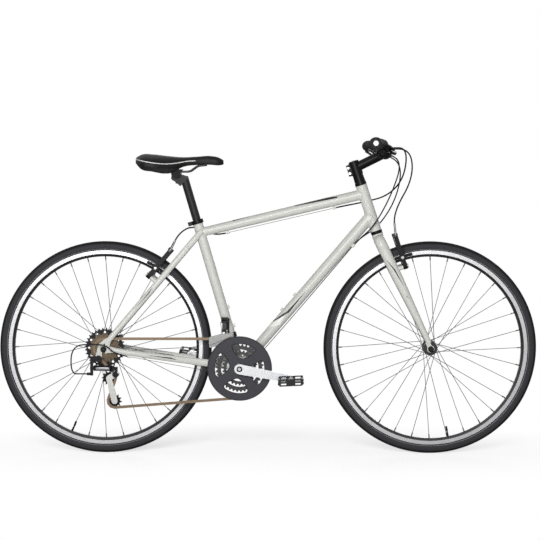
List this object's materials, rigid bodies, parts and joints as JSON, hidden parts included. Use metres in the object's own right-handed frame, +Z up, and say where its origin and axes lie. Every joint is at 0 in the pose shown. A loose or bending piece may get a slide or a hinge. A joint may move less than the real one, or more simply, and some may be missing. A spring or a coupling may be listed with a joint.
{
  "type": "hybrid bicycle",
  "caption": "Flat-bar hybrid bicycle with a diamond frame, rigid fork, rim brakes, triple crankset with guard and rear derailleur, in pale silver and black.",
  "frame": {"origin": "on the ground midway between the two wheel axles", "axes": "+X forward, +Y to the rider's left, +Z up; the chain is on the -Y side"},
  "size_m": [1.7629, 0.6118, 1.0335],
  "materials": {
    "frame_paint": "gloss metallic paint",
    "dropout_steel": "satin",
    "black_alloy": "black satin anodised",
    "black_plastic": "moulded black",
    "grip_rubber": "matt",
    "tyre_rubber": "matt",
    "rim_alloy": "machined brake track, black inner band",
    "spoke_steel": "dark steel",
    "hub_alloy": "satin",
    "bright_steel": "bright",
    "chain_steel": "oiled brown",
    "ring_steel": "black",
    "crank_alloy": "polished",
    "guard_plastic": "dark grey",
    "pedal_plastic": "moulded black",
    "derailleur_black": "black",
    "cage_steel": "bright",
    "cable_cover": "black housing",
    "saddle_cover": "black synthetic cover",
    "rail_steel": "dark steel"
  },
  "bodies": {
    "frame": {"main_frame": "frame_paint", "chainstays": "frame_paint", "seatstays": "frame_paint", "rear_dropouts": "dropout_steel", "frame_fittings": "frame_paint", "seat_clamp": "black_alloy", "headset_cups": "black_alloy", "bottom_bracket_unit": "bright_steel", "rear_skewer": "bright_steel", "frame_cables": "cable_cover", "chain": "chain_steel", "front_derailleur_clamp": "derailleur_black"},
    "steering": {"fork_steerer": "frame_paint", "fork_blades": "frame_paint", "headset_spacers": "black_alloy", "stem": "black_alloy", "handlebar": "black_alloy", "grips": "grip_rubber", "control_pods": "black_plastic", "front_skewer": "bright_steel", "bar_cables": "cable_cover"},
    "front_wheel": {"front_tyre": "tyre_rubber", "front_rim": "rim_alloy", "front_spokes": "spoke_steel", "front_hub": "hub_alloy"},
    "rear_wheel": {"rear_tyre": "tyre_rubber", "rear_rim": "rim_alloy", "rear_spokes": "spoke_steel", "rear_hub": "hub_alloy"},
    "freewheel": {"freewheel": "chain_steel"},
    "crank": {"right_crank": "crank_alloy", "left_crank": "crank_alloy", "chainrings": "ring_steel", "chain_guard": "guard_plastic", "crank_axles": "bright_steel"},
    "right_pedal": {"right_pedal": "pedal_plastic"},
    "left_pedal": {"left_pedal": "pedal_plastic"},
    "right_brake_lever": {"right_brake_lever": "black_alloy"},
    "left_brake_lever": {"left_brake_lever": "black_alloy"},
    "right_shift_lever": {"right_shift_lever": "black_plastic"},
    "left_shift_lever": {"left_shift_lever": "black_plastic"},
    "front_qr_lever": {"front_qr_lever": "bright_steel"},
    "rear_qr_lever": {"rear_qr_lever": "bright_steel"},
    "front_brake_arm_right": {"front_brake_arm_right": "black_alloy"},
    "front_brake_arm_left": {"front_brake_arm_left": "black_alloy"},
    "rear_brake_arm_right": {"rear_brake_arm_right": "black_alloy"},
    "rear_brake_arm_left": {"rear_brake_arm_left": "black_alloy"},
    "seatpost": {"seatpost": "black_alloy"},
    "saddle_clamp": {"saddle_clamp": "black_alloy"},
    "rd_upper_knuckle": {"rd_upper_knuckle": "derailleur_black"},
    "rd_outer_link": {"rd_outer_link": "derailleur_black"},
    "rd_inner_link": {"rd_inner_link": "derailleur_black"},
    "rd_lower_knuckle": {"rd_lower_knuckle": "derailleur_black"},
    "rd_cage": {"rd_cage": "cage_steel"},
    "guide_pulley": {"guide_pulley": "black_plastic"},
    "tension_pulley": {"tension_pulley": "black_plastic"},
    "fd_link": {"fd_link": "derailleur_black"},
    "fd_cage": {"fd_cage": "cage_steel"},
    "saddle": {"saddle": "saddle_cover", "saddle_rails": "rail_steel"}
  },
  "joints": [
    {"name": "steering", "type": "hinge", "parent": "frame", "child": "steering", "pos_m": [0.35552, 0, 0.73253], "axis": [-0.314, 0, 0.9494], "range_deg": [-70, 70], "deforming": ["bar_cables"]},
    {"name": "front_wheel_spin", "type": "hinge", "parent": "steering", "child": "front_wheel", "pos_m": [0.5325, 0, 0.349], "axis": [0, 1, 0], "continuous": true},
    {"name": "rear_wheel_spin", "type": "hinge", "parent": "frame", "child": "rear_wheel", "pos_m": [-0.5325, 0, 0.349], "axis": [0, 1, 0], "continuous": true},
    {"name": "crank_spin", "type": "hinge", "parent": "frame", "child": "crank", "pos_m": [-0.09, 0, 0.285], "axis": [0, 1, 0], "continuous": true, "deforming": ["chain"]},
    {"name": "freewheel_spin", "type": "hinge", "parent": "frame", "child": "freewheel", "pos_m": [-0.5325, 0, 0.349], "axis": [0, 1, 0], "continuous": true},
    {"name": "right_pedal_spin", "type": "hinge", "parent": "crank", "child": "right_pedal", "pos_m": [0.07698, 0, 0.25315], "axis": [0, 1, 0], "continuous": true},
    {"name": "left_pedal_spin", "type": "hinge", "parent": "crank", "child": "left_pedal", "pos_m": [-0.25699, 0, 0.31685], "axis": [0, 1, 0], "continuous": true},
    {"name": "right_brake", "type": "hinge", "parent": "steering", "child": "right_brake_lever", "pos_m": [0.39695, -0.15366, 0.99411], "axis": [-0.5277, 0.0909, -0.8445], "range_deg": [0, 11], "stiffness_Nm_per_rad": 6, "springref_deg": -8.59},
    {"name": "right_shift", "type": "hinge", "parent": "steering", "child": "right_shift_lever", "pos_m": [0.36218, -0.1414, 0.97216], "axis": [0.5277, -0.0909, 0.8445], "range_deg": [0, 25], "stiffness_Nm_per_rad": 1, "springref_deg": -11.46},
    {"name": "left_brake", "type": "hinge", "parent": "steering", "child": "left_brake_lever", "pos_m": [0.39695, 0.15366, 0.99411], "axis": [0.5277, 0.0909, 0.8445], "range_deg": [0, 11], "stiffness_Nm_per_rad": 6, "springref_deg": -8.59},
    {"name": "left_shift", "type": "hinge", "parent": "steering", "child": "left_shift_lever", "pos_m": [0.36218, 0.1414, 0.97216], "axis": [-0.5277, -0.0909, -0.8445], "range_deg": [0, 25], "stiffness_Nm_per_rad": 1, "springref_deg": -11.46},
    {"name": "front_brake_right", "type": "hinge", "parent": "steering", "child": "front_brake_arm_right", "pos_m": [0.4495, -0.04, 0.6176], "axis": [-0.9494, 0, -0.314], "range_deg": [0, 1.2]},
    {"name": "front_brake_left", "type": "hinge", "parent": "steering", "child": "front_brake_arm_left", "pos_m": [0.4495, 0.04, 0.6176], "axis": [0.9494, 0, 0.314], "range_deg": [0, 1.2]},
    {"name": "rear_brake_right", "type": "hinge", "parent": "frame", "child": "rear_brake_arm_right", "pos_m": [-0.3864, -0.04, 0.58598], "axis": [-0.7619, 0, 0.6477], "range_deg": [0, 1.2]},
    {"name": "rear_brake_left", "type": "hinge", "parent": "frame", "child": "rear_brake_arm_left", "pos_m": [-0.3864, 0.04, 0.58598], "axis": [0.7619, 0, -0.6477], "range_deg": [0, 1.2]},
    {"name": "seatpost_height", "type": "slide", "parent": "frame", "child": "seatpost", "axis": [-0.2823, 0, 0.9593], "range_m": [-0.06, 0.04]},
    {"name": "saddle_tilt", "type": "hinge", "parent": "seatpost", "child": "saddle_clamp", "pos_m": [-0.29813, 0, 0.9204], "axis": [0, 1, 0], "range_deg": [-12, 12]},
    {"name": "saddle_fore_aft", "type": "slide", "parent": "saddle_clamp", "child": "saddle", "axis": [1, 0, 0], "range_m": [-0.015, 0.015]},
    {"name": "front_qr", "type": "hinge", "parent": "steering", "child": "front_qr_lever", "pos_m": [0.5325, 0.0672, 0.349], "axis": [-0.9003, 0, -0.4354], "range_deg": [0, 170]},
    {"name": "rear_qr", "type": "hinge", "parent": "frame", "child": "rear_qr_lever", "pos_m": [-0.5325, 0.0847, 0.349], "axis": [-0.5531, 0, 0.8331], "range_deg": [0, 170]},
    {"name": "rd_mount", "type": "hinge", "parent": "frame", "child": "rd_upper_knuckle", "pos_m": [-0.5485, 0, 0.318], "axis": [0, 1, 0], "range_deg": [0, 15], "stiffness_Nm_per_rad": 4, "springref_deg": -17.19, "deforming": ["frame_cables"]},
    {"name": "rd_shift", "type": "hinge", "parent": "rd_upper_knuckle", "child": "rd_outer_link", "pos_m": [-0.56, -0.086, 0.288], "axis": [0, 0, 1], "range_deg": [-4.9, 24.1]},
    {"name": "rd_inner_link", "type": "hinge", "parent": "rd_upper_knuckle", "child": "rd_inner_link", "pos_m": [-0.56, -0.07, 0.288], "axis": [0, 0, 1], "range_deg": [-4.9, 24.1]},
    {"name": "rd_lower_knuckle", "type": "hinge", "parent": "rd_outer_link", "child": "rd_lower_knuckle", "pos_m": [-0.50084, -0.096, 0.288], "axis": [0, 0, 1], "range_deg": [-24.1, 4.9]},
    {"name": "rd_cage_swing", "type": "hinge", "parent": "rd_lower_knuckle", "child": "rd_cage", "pos_m": [-0.492, 0, 0.268], "axis": [0, -1, 0], "range_deg": [-5, 45], "stiffness_Nm_per_rad": 1.5},
    {"name": "guide_pulley_spin", "type": "hinge", "parent": "rd_cage", "child": "guide_pulley", "pos_m": [-0.517, 0, 0.253], "axis": [0, 1, 0], "continuous": true},
    {"name": "tension_pulley_spin", "type": "hinge", "parent": "rd_cage", "child": "tension_pulley", "pos_m": [-0.499, 0, 0.178], "axis": [0, 1, 0], "continuous": true},
    {"name": "fd_shift", "type": "hinge", "parent": "frame", "child": "fd_link", "pos_m": [-0.14, -0.0475, 0.437], "axis": [1, 0, 0], "range_deg": [0, 29]},
    {"name": "fd_cage_keep", "type": "hinge", "parent": "fd_link", "child": "fd_cage", "pos_m": [-0.14, -0.055, 0.408], "axis": [1, 0, 0], "range_deg": [-29, 0]}
  ],
  "couplings": [
    {"joint": "freewheel_spin", "follows": "crank_spin", "ratio": 3},
    {"joint": "guide_pulley_spin", "follows": "crank_spin", "ratio": -4.3636},
    {"joint": "tension_pulley_spin", "follows": "crank_spin", "ratio": 4.3636},
    {"joint": "front_brake_right", "follows": "left_brake", "ratio": 0.10909},
    {"joint": "front_brake_left", "follows": "left_brake", "ratio": 0.10909},
    {"joint": "rear_brake_right", "follows": "right_brake", "ratio": 0.10909},
    {"joint": "rear_brake_left", "follows": "right_brake", "ratio": 0.10909},
    {"joint": "rd_inner_link", "follows": "rd_shift", "ratio": 1},
    {"joint": "rd_lower_knuckle", "follows": "rd_shift", "ratio": -1},
    {"joint": "fd_cage_keep", "follows": "fd_shift", "ratio": -1}
  ]
}
